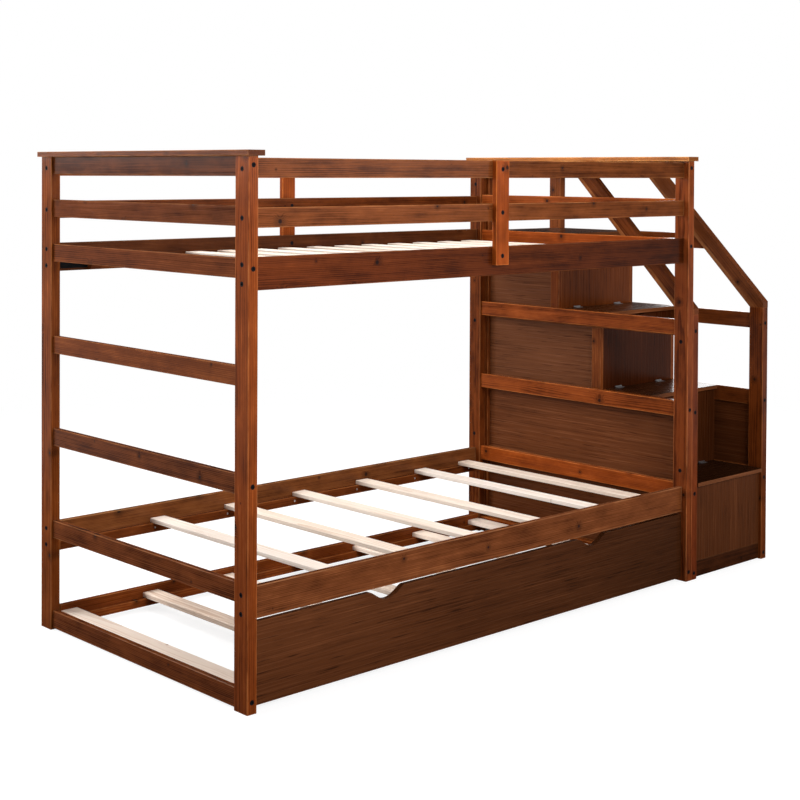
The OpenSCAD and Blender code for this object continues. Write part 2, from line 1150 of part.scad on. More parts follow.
// Trundle: a front panel with two finger scoops, and a low box that carries the slats
module trundle_front_panel() {
    l = trundle_x1 - trundle_x0;
    color(WALNUT_DARK)
        placed()
            difference() {
                translate([trundle_x0, trundle_y0, trundle_z])
                    board_x([l, rail_t, trundle_h]);
                for (side = [-1, 1]) {
                    translate([bed_l / 2 + side * scoop_x, trundle_in_y + 1, trundle_z + trundle_h])
                        rotate([90, 0, 0])
                            linear_extrude(rail_t + 2)
                                dip_outline(scoop_w, scoop_d);
                }
            }
}

module trundle_back_rail() {
    color(WALNUT)
        placed()
            translate([trundle_x0, trundle_back_y, trundle_z])
                board_x([trundle_x1 - trundle_x0, rail_t, trundle_back_z - trundle_z]);
}

module at_castors() {
    for (at_foot = [false, true], y = castor_ys) {
        corner(at_foot, false)
            translate([trundle_x0, y, wheel_r])
                children();
    }
}

module trundle_end_rails() {
    color(WALNUT)
        placed()
            difference() {
                for (x = [trundle_x0, trundle_x1 - rail_t]) {
                    translate([x, trundle_in_y, trundle_z])
                        board_y([rail_t, trundle_in, trundle_deck_z - trundle_z], 1);
                }
                at_castors()
                    translate([-1, 0, 0])
                        along_x(axle_r + run_gap, rail_t + 2);
            }
}

module trundle_ledgers() {
    color(WALNUT)
        placed()
            for (y = [trundle_in_y, trundle_back_y - ledger_w]) {
                translate([trundle_x0 + rail_t, y, trundle_z])
                    board_x([
                        trundle_x1 - trundle_x0 - 2 * rail_t,
                        ledger_w,
                        trundle_deck_z - trundle_z
                    ], 1);
            }
}

module trundle_slats() {
    color(PINE)
        placed()
            slat_row(
                trundle_slat_n, trundle_x0 + slat_gap, trundle_x1 - slat_w - slat_gap,
                trundle_in_y + slat_gap, trundle_back_y - slat_gap,
                trundle_deck_z, trundle_slat_t
            );
}

// A castor axle runs through the end rail, with a flange on each side of the wheel
module castor_axle() {
    inner_flange = rail_t + axle_flange_t + wheel_w + 2 * face_gap;
    translate([2, 0, 0])
        along_x(axle_r, inner_flange + axle_flange_t - 2);
    for (x = [rail_t, inner_flange]) {
        translate([x, 0, 0])
            along_x(axle_flange_r, axle_flange_t);
    }
}

module castor_axles() {
    color(STEEL)
        placed()
            at_castors()
                castor_axle();
}

// Wheel outline in its radius and width, with a rounded tread and a recessed web
module castor_wheel(at_foot, y) {
    hub_r = 8;
    rim_r = wheel_r - 4;
    web = 3;
    round_r = 3;
    color(GREY)
        placed()
            corner(at_foot, false)
                translate([trundle_x0 + rail_t + axle_flange_t + face_gap, y, wheel_r])
                    rotate([0, 90, 0])
                        rotate_extrude($fn = 48)
                            difference() {
                                union() {
                                    translate([axle_r + run_gap, 0])
                                        square([wheel_r - round_r - axle_r - run_gap, wheel_w]);
                                    translate([wheel_r - round_r, round_r])
                                        square([round_r, wheel_w - 2 * round_r]);
                                    for (z = [round_r, wheel_w - round_r]) {
                                        translate([wheel_r - round_r, z])
                                            circle(r = round_r, $fn = 24);
                                    }
                                }
                                for (z = [-1, wheel_w - web]) {
                                    translate([hub_r, z])
                                        square([rim_r - hub_r, web + 1]);
                                }
                            }
}

module castor_wheel_head_front() {
    castor_wheel(false, castor_ys[0]);
}

module castor_wheel_head_back() {
    castor_wheel(false, castor_ys[1]);
}

module castor_wheel_foot_front() {
    castor_wheel(true, castor_ys[0]);
}

module castor_wheel_foot_back() {
    castor_wheel(true, castor_ys[1]);
}

head_post_front();
head_post_back();
foot_post_front();
foot_post_back();
head_cap();
foot_cap();
head_end_rails();
foot_end_rails();
upper_side_rail_front();
upper_side_rail_back();
lower_side_rail_front();
lower_side_rail_back();
slat_ledgers();
upper_slats();
lower_slats();
front_guard_rails();
back_guard_rails();
guard_stiles();
corner_brackets();
frame_bolts();
stair_post_inner_front();
stair_post_outer_front();
stair_post_inner_back();
stair_post_outer_back();
inner_handrail();
outer_handrail();
inner_top_rail();
outer_top_rail();
inner_side_rails();
outer_side_rails();
side_frame_stiles();
inner_side_panels();
outer_side_panels();
kick_board();
riser_1();
riser_2();
riser_3();
riser_4();
step_lid_1();
step_lid_2();
step_lid_3();
platform();
bin_floors();
stair_cleats();
stair_back_rails();
riser_hinge_leaves();
lid_hinge_leaves_1();
lid_hinge_leaves_2();
lid_hinge_leaves_3();
trundle_front_panel();
trundle_back_rail();
trundle_end_rails();
trundle_ledgers();
trundle_slats();
castor_axles();
castor_wheel_head_front();
castor_wheel_head_back();
castor_wheel_foot_front();
castor_wheel_foot_back();
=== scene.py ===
"""A bunk bed with a trundle and a storage staircase, dressed and lit for a studio picture.

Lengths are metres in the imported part's frame: X runs along the bed from the head to the staircase,
Y from the front to the back, and Z up from the floor.
"""
import logging
import math
from dataclasses import dataclass, field
from enum import Enum
from typing import Sequence

import bpy
import numpy as np
from mathutils import Euler, Matrix, Vector


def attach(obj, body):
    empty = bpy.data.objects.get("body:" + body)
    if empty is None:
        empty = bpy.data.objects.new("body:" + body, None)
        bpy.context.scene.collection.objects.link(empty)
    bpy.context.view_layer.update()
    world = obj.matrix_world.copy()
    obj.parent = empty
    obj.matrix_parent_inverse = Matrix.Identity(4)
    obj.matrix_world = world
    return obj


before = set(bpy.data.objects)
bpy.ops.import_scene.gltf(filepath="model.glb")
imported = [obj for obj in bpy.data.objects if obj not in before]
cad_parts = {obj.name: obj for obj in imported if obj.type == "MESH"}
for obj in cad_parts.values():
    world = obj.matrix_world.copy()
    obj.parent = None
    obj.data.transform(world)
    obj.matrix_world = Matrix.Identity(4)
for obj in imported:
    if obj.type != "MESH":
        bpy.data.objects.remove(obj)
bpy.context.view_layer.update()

log = logging.getLogger("bunk_bed")

Colour = tuple[float, float, float]
Triple = tuple[float, float, float]
Socket = bpy.types.NodeSocket
Value = Socket | float | Triple

MM = 0.001
PIXELS = 800
ROOT_BODY = "bed_and_staircase"
FULL_TURN = 2 * math.pi
WHITE: Colour = (1.0, 1.0, 1.0)
PLAIN: Triple = (1.0, 1.0, 1.0)
TOUCHING = 0.1 * MM
HANDRAIL_HALF_LENGTH = 1.0
HANDRAIL_HALF_WIDTH = 29.0 * MM
MIX_FIRST, MIX_SECOND, MIX_RESULT = 6, 7, 2  # the Mix node's sockets for colours


class Grain(Enum):
    """The way a board's grain runs, as the turn that brings it on to the pattern's own X axis."""

    ALONG_X = (0.0, 0.0, 0.0)
    ALONG_Y = (0.0, 0.0, -math.pi / 2)
    ALONG_Z = (0.0, math.pi / 2, 0.0)
    ALONG_HANDRAIL = (-math.pi / 4, 0.0, -math.pi / 2)


class Cut(Enum):
    """How a wood was cut: sawn boards show growth rings and knots, veneer shows straight lines."""

    SAWN = "sawn"
    VENEER = "veneer"


@dataclass(frozen=True)
class Layer:
    """One kind of soft noise.

    The scale is its features per metre along each axis, the detail how many finer layers it has,
    and the roughness how strong those are.
    """

    scale: Triple
    detail: float = 3.0
    roughness: float = 0.6


@dataclass
class NodeDesk:
    """Draws shader nodes in one node tree, and joins each new node to what feeds it."""

    tree: bpy.types.NodeTree

    def feed(self, socket: Socket, value: Value) -> None:
        """Joins or sets one input.

        Args:
            socket: the input.
            value: a socket to link from, or a plain value.
        """
        if isinstance(value, bpy.types.NodeSocket):
            self.tree.links.new(value, socket)
        elif isinstance(value, tuple) and socket.type == "RGBA":
            socket.default_value = (*value, 1.0)
        else:
            socket.default_value = value

    def add(self, kind: str, inputs: dict[str | int, Value] | None = None,
            **settings: object) -> bpy.types.Node:
        """Adds a node.

        Args:
            kind: the node's type name.
            inputs: values by input name or number.
            settings: the node's own properties.

        Returns:
            The new node.
        """
        node = self.tree.nodes.new(kind)
        for name, setting in settings.items():
            setattr(node, name, setting)
        for key, value in (inputs or {}).items():
            self.feed(node.inputs[key], value)
        return node

    def math(self, operation: str, *values: Value) -> Socket:
        """A Math node's result.

        Args:
            operation: the node's operation.
            values: its inputs in order.

        Returns:
            The output socket.
        """
        node = self.add("ShaderNodeMath", dict(enumerate(values)), operation=operation)
        return node.outputs[0]

    def vector(self, operation: str, *values: Value) -> Socket:
        """A Vector Math node's vector result.

        Args:
            operation: the node's operation.
            values: its inputs in order.

        Returns:
            The output socket.
        """
        node = self.add("ShaderNodeVectorMath", dict(enumerate(values)), operation=operation)
        return node.outputs[0]

    def split(self, vector: Value) -> list[Socket]:
        """The X, Y and Z parts of a vector.

        Args:
            vector: the vector.

        Returns:
            The three sockets.
        """
        return list(self.add("ShaderNodeSeparateXYZ", {0: vector}).outputs)

    def join(self, *parts: Value) -> Socket:
        """A vector from its X, Y and Z parts.

        Args:
            parts: the three parts.

        Returns:
            The vector socket.
        """
        return self.add("ShaderNodeCombineXYZ", dict(enumerate(parts))).outputs[0]

    def length(self, vector: Value) -> Socket:
        """The length of a vector.

        Args:
            vector: the vector.

        Returns:
            The length's socket.
        """
        node = self.add("ShaderNodeVectorMath", {0: vector}, operation="LENGTH")
        return node.outputs["Value"]

    def centred(self, chance: Value) -> Socket:
        """A random number from 0 to 1, moved to lie about 0.

        Args:
            chance: the random number.

        Returns:
            The number less one half.
        """
        return self.math("SUBTRACT", chance, 0.5)

    def noise(self, place: Socket, layer: Layer) -> Socket:
        """Soft noise of mean 0, about 0.5 either way.

        Args:
            place: where the pattern is read, in metres.
            layer: the kind of noise.

        Returns:
            The noise less its mean.
        """
        spread = self.vector("MULTIPLY", place, layer.scale)
        node = self.add("ShaderNodeTexNoise",
                        {"Vector": spread, "Scale": 1.0, "Detail": layer.detail,
                         "Roughness": layer.roughness})
        return self.centred(node.outputs[0])

    def bump(self, height: Socket, strength: float, depth: float) -> Socket:
        """A relief for a shader's normal.

        Args:
            height: the relief's height, as a share of its depth.
            strength: how strongly it turns the normal.
            depth: the depth in metres.

        Returns:
            The normal's socket.
        """
        node = self.add("ShaderNodeBump",
                        {"Height": height, "Strength": strength, "Distance": depth})
        return node.outputs[0]

    def step(self, value: Value, low: Value, high: Value) -> Socket:
        """A smooth rise from 0 at low to 1 at high.

        Args:
            value: what is measured.
            low: where the rise starts.
            high: where it ends.

        Returns:
            The step's socket.
        """
        node = self.add("ShaderNodeMapRange", {0: value, 1: low, 2: high},
                        interpolation_type="SMOOTHSTEP")
        return node.outputs[0]

    def blend(self, share: Value, first: Value, second: Value) -> Socket:
        """A mix of two colours.

        Args:
            share: 0 gives the first colour, 1 the second.
            first: a colour.
            second: a colour.

        Returns:
            The colour socket.
        """
        node = self.add("ShaderNodeMix", {0: share, MIX_FIRST: first, MIX_SECOND: second},
                        data_type="RGBA", clamp_factor=True)
        return node.outputs[MIX_RESULT]

    def ramp(self, value: Socket, stops: Sequence[tuple[float, Colour]]) -> Socket:
        """A colour ramp.

        Args:
            value: the place on the ramp.
            stops: places and colours, in order.

        Returns:
            The colour socket.
        """
        node = self.add("ShaderNodeValToRGB", {0: value})
        node.color_ramp.interpolation = "EASE"
        elements = node.color_ramp.elements
        while len(elements) < len(stops):
            elements.new(0.5)
        for element, (place, colour) in zip(elements, stops):
            element.position = place
            element.color = (*colour, 1.0)
        return node.outputs[0]


FIBRE = Layer((3.5, 270.0, 270.0), 3.0, 0.65)
WEAR_AND_HIGHLIGHT_PATCHES = Layer((9.0, 30.0, 30.0))
RING_DRIFT = Layer((1.2, 9.0, 9.0), 3.0, 0.55)
SAWN_STREAK = Layer((1.2, 62.0, 62.0))
SAWN_BLOTCH = Layer((8.0, 20.0, 20.0), 4.0)
VENEER_DRIFT = Layer((1.5, 4.0, 4.0), 2.0, 0.5)
VENEER_LINE = Layer((2.2, 250.0, 250.0), 3.0, 0.65)
VENEER_BAND = Layer((0.5, 75.0, 75.0), 2.0, 0.5)
VENEER_BLOTCH = Layer((3.0, 7.0, 7.0), 3.0, 0.5)
VENEER_PORE = Layer((9.0, 330.0, 330.0), 2.0, 0.5)


@dataclass(frozen=True)
class WoodFinish:
    """One wood: its colours, its figure and its lacquer.

    Strengths are shares of the colour ramp. A band is where a smooth rise starts and ends.
    """

    name: str
    cut: Cut
    dark: Colour
    middle: Colour
    light: Colour
    knot: Colour
    # The edge colour is partly worn wood and partly a painted highlight, where the eased edges catch
    # the light.
    edge: Colour
    ring_width: float = 4.5 * MM
    ring_strength: float = 0.26
    streak_strength: float = 0.55
    blotch_strength: float = 1.10
    fibre_strength: float = 0.95
    board_strength: float = 0.25
    hue_strength: float = 0.35
    edge_strength: float = 0.55
    end_strength: float = 0.80
    knot_cell: Triple = (0.36, 0.11, 0.11)
    knot_radius: float = 15 * MM
    knot_core: tuple[float, float] = (0.35, 0.60)
    knot_halo: float = 2.2
    knot_through: float = 0.12
    knot_push: float = 12 * MM
    knot_dent: float = 0.80
    halo_strength: float = 0.45
    pith_aside: float = 80 * MM
    pith_below: float = 60 * MM
    pith_gap: float = 25 * MM
    ring_drift: float = 26 * MM
    late_rise: tuple[float, float] = (0.30, 0.88)
    late_fall: tuple[float, float] = (0.92, 1.0)
    veneer_bend: float = 6 * MM
    pore_band: tuple[float, float] = (0.10, 0.22)
    pore_strength: float = 0.45
    hue_green: float = 0.40
    edge_band: tuple[float, float] = (-3.6 * MM, -1.0 * MM)
    end_band: tuple[float, float] = (-1.2 * MM, -0.4 * MM)
    patch_band: tuple[float, float] = (-0.25, 0.20)
    end_spared: float = 0.80
    chance_shift: float = 7.0
    roughness: float = 0.20
    fibre_roughness: float = 0.25
    knot_roughness: float = 0.15
    specular: float = 0.05
    relief: float = 0.20
    relief_depth: float = 0.4 * MM

    def group(self) -> bpy.types.NodeTree:
        """The finish as a node group, made once and shared by every board that has it.

        Its inputs are a point from the board's middle with the grain along X, the board's half size
        in the same axes and three random numbers of the board. Its outputs are colour, roughness
        and the height of the relief.

        Returns:
            The node group.
        """
        found = bpy.data.node_groups.get(self.name)
        if found:
            return found
        tree = bpy.data.node_groups.new(self.name, "ShaderNodeTree")
        for name in ("Local", "Half", "Chance"):
            tree.interface.new_socket(name=name, in_out="INPUT", socket_type="NodeSocketVector")
        tree.interface.new_socket(name="Colour", in_out="OUTPUT", socket_type="NodeSocketColor")
        for name in ("Roughness", "Height"):
            tree.interface.new_socket(name=name, in_out="OUTPUT", socket_type="NodeSocketFloat")
        desk = NodeDesk(tree)
        source = desk.add("NodeGroupInput").outputs
        local, half, chance = source["Local"], source["Half"], source["Chance"]
        place = desk.vector("MULTIPLY_ADD", chance, (self.chance_shift,) * 3, local)
        fibre = desk.noise(place, FIBRE)
        wear_and_highlight, end = self._edges(desk, local, half, place)
        if self.cut is Cut.SAWN:
            figure, core, halo = self._sawn(desk, local, half, chance, place)
        else:
            figure, core, halo = self._veneer(desk, place)
        share = desk.math("MULTIPLY_ADD", fibre, self.fibre_strength, figure)
        paler, warmer, _ = desk.split(chance)
        share = desk.math("MULTIPLY_ADD", desk.centred(paler), self.board_strength, share)
        colour = desk.ramp(share, ((0.0, self.dark), (0.5, self.middle), (1.0, self.light)))
        warm = desk.math("MULTIPLY", desk.centred(warmer), self.hue_strength)
        green = desk.math("MULTIPLY_ADD", warm, self.hue_green, 1.0)
        tint = desk.join(1.0, green, desk.math("ADD", warm, 1.0))
        colour = desk.vector("MULTIPLY", colour, tint)
        colour = desk.blend(desk.math("MULTIPLY", halo, self.halo_strength), colour, self.knot)
        colour = desk.blend(core, colour, self.knot)
        colour = desk.blend(end, colour, self.dark)
        # Lighter edges: worn wood, and a painted highlight where the eased edges catch the light.
        colour = desk.blend(wear_and_highlight, colour, self.edge)
        roughness = desk.math("MULTIPLY_ADD", fibre, self.fibre_roughness, self.roughness)
        roughness = desk.math("MULTIPLY_ADD", core, self.knot_roughness, roughness)
        height = desk.math("MULTIPLY_ADD", core, -self.knot_dent, fibre)
        desk.add("NodeGroupOutput", {"Colour": colour, "Roughness": roughness, "Height": height})
        return tree

    def _edges(self, desk: NodeDesk, local: Socket, half: Socket,
               place: Socket) -> tuple[Socket, Socket]:
        """Where the edges are worn and painted with a highlight, and where the board shows end grain.

        A point's distance past each face is the board's half size taken from its own size; the
        middle one of the three is the distance to the nearest edge.

        Args:
            desk: the group's desk.
            local: the point from the board's middle.
            half: the board's half size.
            place: the point where noise is read.

        Returns:
            The share of worn edge and painted highlight, and the share of end grain.
        """
        past = desk.vector("SUBTRACT", desk.vector("ABSOLUTE", local), half)
        x, y, z = desk.split(past)
        low = desk.math("MINIMUM", x, y)
        high = desk.math("MINIMUM", desk.math("MAXIMUM", x, y), z)
        edge = desk.step(desk.math("MAXIMUM", low, high), *self.edge_band)
        patchy = desk.step(desk.noise(place, WEAR_AND_HIGHLIGHT_PATCHES), *self.patch_band)
        at_end = desk.step(x, *self.end_band)
        wear_and_highlight = desk.math("MULTIPLY", edge, desk.math("MULTIPLY", patchy, self.edge_strength))
        wear_and_highlight = desk.math("MULTIPLY", wear_and_highlight, desk.math("MULTIPLY_ADD", at_end, -self.end_spared, 1.0))
        return wear_and_highlight, desk.math("MULTIPLY", at_end, self.end_strength)

    def _sawn(self, desk: NodeDesk, local: Socket, half: Socket, chance: Socket,
              place: Socket) -> tuple[Socket, Socket, Socket]:
        """Growth rings round a pith outside the board, streaks, blotches and knots.

        A point's ring is its distance from the pith, pushed about by slow noise and out round each
        knot, over the width of a ring.

        Args:
            desk: the group's desk.
            local: the point from the board's middle.
            half: the board's half size.
            chance: the board's random numbers.
            place: the point where noise is read.

        Returns:
            The place on the colour ramp, the knots' cores and the haloes round them.
        """
        core, halo = self._knots(desk, half, place)
        _, y, z = desk.split(local)
        _, pith_y, pith_z = desk.split(chance)
        aside = desk.math("MULTIPLY_ADD", desk.centred(pith_y), self.pith_aside, y)
        below = desk.math("MULTIPLY_ADD", pith_z, self.pith_below, z)
        below = desk.math("ADD", below, self.pith_gap)
        distance = desk.length(desk.join(0.0, aside, below))
        pushed = desk.math("MULTIPLY_ADD", desk.noise(place, RING_DRIFT), self.ring_drift, distance)
        pushed = desk.math("MULTIPLY_ADD", halo, self.knot_push, pushed)
        turn = desk.math("FRACT", desk.math("DIVIDE", pushed, self.ring_width))
        late = desk.math("SUBTRACT", desk.step(turn, *self.late_rise),
                         desk.step(turn, *self.late_fall))
        streak, blotch = desk.noise(place, SAWN_STREAK), desk.noise(place, SAWN_BLOTCH)
        figure = desk.math("MULTIPLY_ADD", streak, self.streak_strength, 0.5)
        figure = desk.math("MULTIPLY_ADD", blotch, self.blotch_strength, figure)
        figure = desk.math("MULTIPLY_ADD", late, -self.ring_strength, figure)
        return figure, core, halo

    def _knots(self, desk: NodeDesk, half: Socket, place: Socket) -> tuple[Socket, Socket]:
        """Knots, as the discs round a random point in each cell of the board's broad face.

        The cells are long along the grain, and longer still through the board. A knot is measured
        in the broad face alone, so it goes right through the board.

        Args:
            desk: the group's desk.
            half: the board's half size.
            place: the point where noise is read.

        Returns:
            The knots' cores and the haloes round them.
        """
        _, half_y, half_z = desk.split(half)
        thin_y = desk.math("LESS_THAN", half_y, half_z)
        squeeze = 1.0 - self.knot_through
        through = desk.join(1.0, desk.math("MULTIPLY_ADD", thin_y, -squeeze, 1.0),
                            desk.math("MULTIPLY_ADD", thin_y, squeeze, self.knot_through))
        flat = desk.vector("MULTIPLY", place, through)
        cells = desk.vector("DIVIDE", flat, self.knot_cell)
        knots = desk.add("ShaderNodeTexVoronoi", {"Vector": cells, "Scale": 1.0})
        size = desk.split(knots.outputs["Color"])[0]
        radius = desk.math("MULTIPLY", size, self.knot_radius)
        centre = desk.vector("MULTIPLY", knots.outputs["Position"], self.knot_cell)
        across = desk.join(1.0, desk.math("SUBTRACT", 1.0, thin_y), thin_y)
        away = desk.length(desk.vector("MULTIPLY", desk.vector("SUBTRACT", flat, centre), across))
        inner, outer = (desk.math("MULTIPLY", radius, share) for share in self.knot_core)
        rim = desk.math("MULTIPLY", radius, self.knot_halo)
        core = desk.math("SUBTRACT", 1.0, desk.step(away, inner, outer))
        halo = desk.math("SUBTRACT", 1.0, desk.step(away, outer, rim))
        return core, halo

    def _veneer(self, desk: NodeDesk, place: Socket) -> tuple[Socket, Socket, Socket]:
        """Straight lines of a sliced veneer, in broad bands and fine pores.

        Args:
            desk: the group's desk.
            place: the point where noise is read.

        Returns:
            The place on the colour ramp, and no knots or haloes.
        """
        bend = desk.math("MULTIPLY", desk.noise(place, VENEER_DRIFT), self.veneer_bend)
        bent = desk.vector("ADD", place, desk.join(0.0, bend, bend))
        line, band = desk.noise(bent, VENEER_LINE), desk.noise(bent, VENEER_BAND)
        blotch = desk.noise(place, VENEER_BLOTCH)
        figure = desk.math("MULTIPLY_ADD", line, self.streak_strength, 0.5)
        figure = desk.math("MULTIPLY_ADD", band, self.ring_strength, figure)
        figure = desk.math("MULTIPLY_ADD", blotch, self.blotch_strength, figure)
        pore = desk.step(desk.noise(bent, VENEER_PORE), *self.pore_band)
        figure = desk.math("MULTIPLY_ADD", pore, -self.pore_strength, figure)
        none = desk.math("MULTIPLY", pore, 0.0)
        return figure, none, none


@dataclass(frozen=True)
class PlainFinish:
    """A metal or a plastic with fine marks, aged in patches by tarnish or scuffs."""

    name: str
    base: Colour
    aged: Colour
    metallic: float
    roughness: float
    marks: Layer
    specular: float = 0.5
    relief: float = 0.05
    relief_depth: float = 0.3 * MM
    patches: Layer = Layer((55.0, 55.0, 55.0))
    patch_band: tuple[float, float] = (-0.05, 0.30)
    mark_roughness: float = 0.25
    aged_roughness: float = 0.12

    def material(self) -> bpy.types.Material:
        """The finish as a material, made once.

        Returns:
            The material.
        """
        found = bpy.data.materials.get(self.name)
        if found:
            return found
        material, desk, shader = blank_material(self.name)
        place = desk.add("ShaderNodeTexCoord").outputs["Object"]
        mark = desk.noise(place, self.marks)
        patch = desk.step(desk.noise(place, self.patches), *self.patch_band)
        rough = desk.math("MULTIPLY_ADD", mark, self.mark_roughness, self.roughness)
        rough = desk.math("MULTIPLY_ADD", patch, self.aged_roughness, rough)
        desk.feed(shader.inputs["Base Color"], desk.blend(patch, self.base, self.aged))
        desk.feed(shader.inputs["Roughness"], rough)
        desk.feed(shader.inputs["Normal"], desk.bump(mark, self.relief, self.relief_depth))
        shader.inputs["Metallic"].default_value = self.metallic
        shader.inputs["Specular IOR Level"].default_value = self.specular
        return material


def blank_material(name: str) -> tuple[bpy.types.Material, NodeDesk, bpy.types.Node]:
    """A new material with nothing but its shader and output.

    Args:
        name: the material's name.

    Returns:
        The material, a desk on its tree and its shader node.
    """
    material = bpy.data.materials.new(name)
    material.use_nodes = True
    tree = material.node_tree
    tree.nodes.clear()
    desk = NodeDesk(tree)
    shader = desk.add("ShaderNodeBsdfPrincipled")
    desk.add("ShaderNodeOutputMaterial", {"Surface": shader.outputs[0]})
    return material, desk, shader


STAINED_WOOD = WoodFinish(
    name="stained_pine",
    cut=Cut.SAWN,
    dark=(0.050, 0.0105, 0.0024),
    middle=(0.140, 0.0322, 0.0068),
    light=(0.255, 0.0660, 0.0150),
    knot=(0.016, 0.0050, 0.0022),
    # The edge, far lighter than the middle, is worn wood and a painted highlight on the eased edges.
    edge=(0.420, 0.1500, 0.0450),
)
STAINED_VENEER = WoodFinish(
    name="stained_veneer",
    cut=Cut.VENEER,
    dark=(0.040, 0.0115, 0.0038),
    middle=(0.115, 0.0350, 0.0115),
    light=(0.220, 0.0720, 0.0260),
    knot=(0.020, 0.0080, 0.0050),
    edge=(0.280, 0.0950, 0.0340),
    ring_strength=0.30,
    streak_strength=0.90,
    blotch_strength=0.60,
    fibre_strength=0.80,
    board_strength=0.10,
    edge_strength=0.35,
    roughness=0.26,
)
RAW_PINE = WoodFinish(
    name="raw_pine",
    cut=Cut.SAWN,
    dark=(0.660, 0.500, 0.390),
    middle=(0.870, 0.755, 0.655),
    light=(0.950, 0.890, 0.830),
    knot=(0.330, 0.180, 0.100),
    edge=(0.900, 0.820, 0.750),
    ring_strength=0.30,
    streak_strength=0.50,
    blotch_strength=0.35,
    fibre_strength=0.50,
    hue_strength=0.10,
    edge_strength=0.15,
    end_strength=0.60,
    knot_cell=(0.60, 0.20, 0.20),
    knot_radius=6 * MM,
    roughness=0.68,
)
BLACK_STEEL = PlainFinish(
    name="black_oxide_steel", base=(0.005, 0.005, 0.006), aged=(0.011, 0.010, 0.009), metallic=0.0,
    roughness=0.45, marks=Layer((300.0, 300.0, 300.0)), specular=0.04,
)
BRIGHT_STEEL = PlainFinish(
    name="zinc_plated_steel", base=(0.62, 0.63, 0.65), aged=(0.42, 0.42, 0.43), metallic=1.0,
    roughness=0.34, marks=Layer((12.0, 700.0, 700.0)),
)
GREY_PLASTIC = PlainFinish(
    name="castor_plastic", base=(0.075, 0.077, 0.082), aged=(0.20, 0.20, 0.20), metallic=0.0,
    roughness=0.55, marks=Layer((900.0, 900.0, 900.0), 2.0, 0.5), relief=0.15,
    relief_depth=0.2 * MM, patches=Layer((70.0, 90.0, 70.0), 4.0, 0.65), patch_band=(0.02, 0.22),
    mark_roughness=0.0, aged_roughness=0.20,
)


@dataclass(frozen=True)
class Board:
    """One loose board of a CAD node."""

    low: tuple[float, ...]
    high: tuple[float, ...]

    @property
    def centre(self) -> np.ndarray:
        """The board's middle."""
        return (np.array(self.low) + np.array(self.high)) / 2

    @property
    def half(self) -> np.ndarray:
        """Half the board's size."""
        return (np.array(self.high) - np.array(self.low)) / 2

    @property
    def grain(self) -> Grain:
        """The grain along the board's longest side."""
        return (Grain.ALONG_X, Grain.ALONG_Y, Grain.ALONG_Z)[int(np.argmax(self.half))]


def boards_of(node: str) -> list[Board]:
    """The separate boards of a CAD node.

    Each corner starts with a label of its own. Every triangle lends its corners the lowest label
    among them, over and over, until a board's corners all share one.

    Args:
        node: the node's name.

    Returns:
        The boards, in the order of their lowest corners.
    """
    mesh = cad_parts[node].data
    points = np.zeros(len(mesh.vertices) * 3)
    mesh.vertices.foreach_get("co", points)
    mesh.calc_loop_triangles()
    faces = np.zeros(len(mesh.loop_triangles) * 3, int)
    mesh.loop_triangles.foreach_get("vertices", faces)
    points = points.reshape(-1, 3)
    shared, place = np.unique(np.round(points, 5), axis=0, return_inverse=True)
    faces = place.ravel()[faces].reshape(-1, 3)
    labels = np.arange(len(shared))
    while True:
        lowest = labels[faces].min(axis=1)
        spread = labels.copy()
        np.minimum.at(spread, faces.ravel(), np.repeat(lowest, 3))
        spread = spread[spread]
        if np.array_equal(spread, labels):
            break
        labels = spread
    found = []
    for label in np.unique(labels):
        mine = shared[labels == label]
        found.append(Board(tuple(mine.min(axis=0)), tuple(mine.max(axis=0))))
    return sorted(found, key=lambda board: board.low)


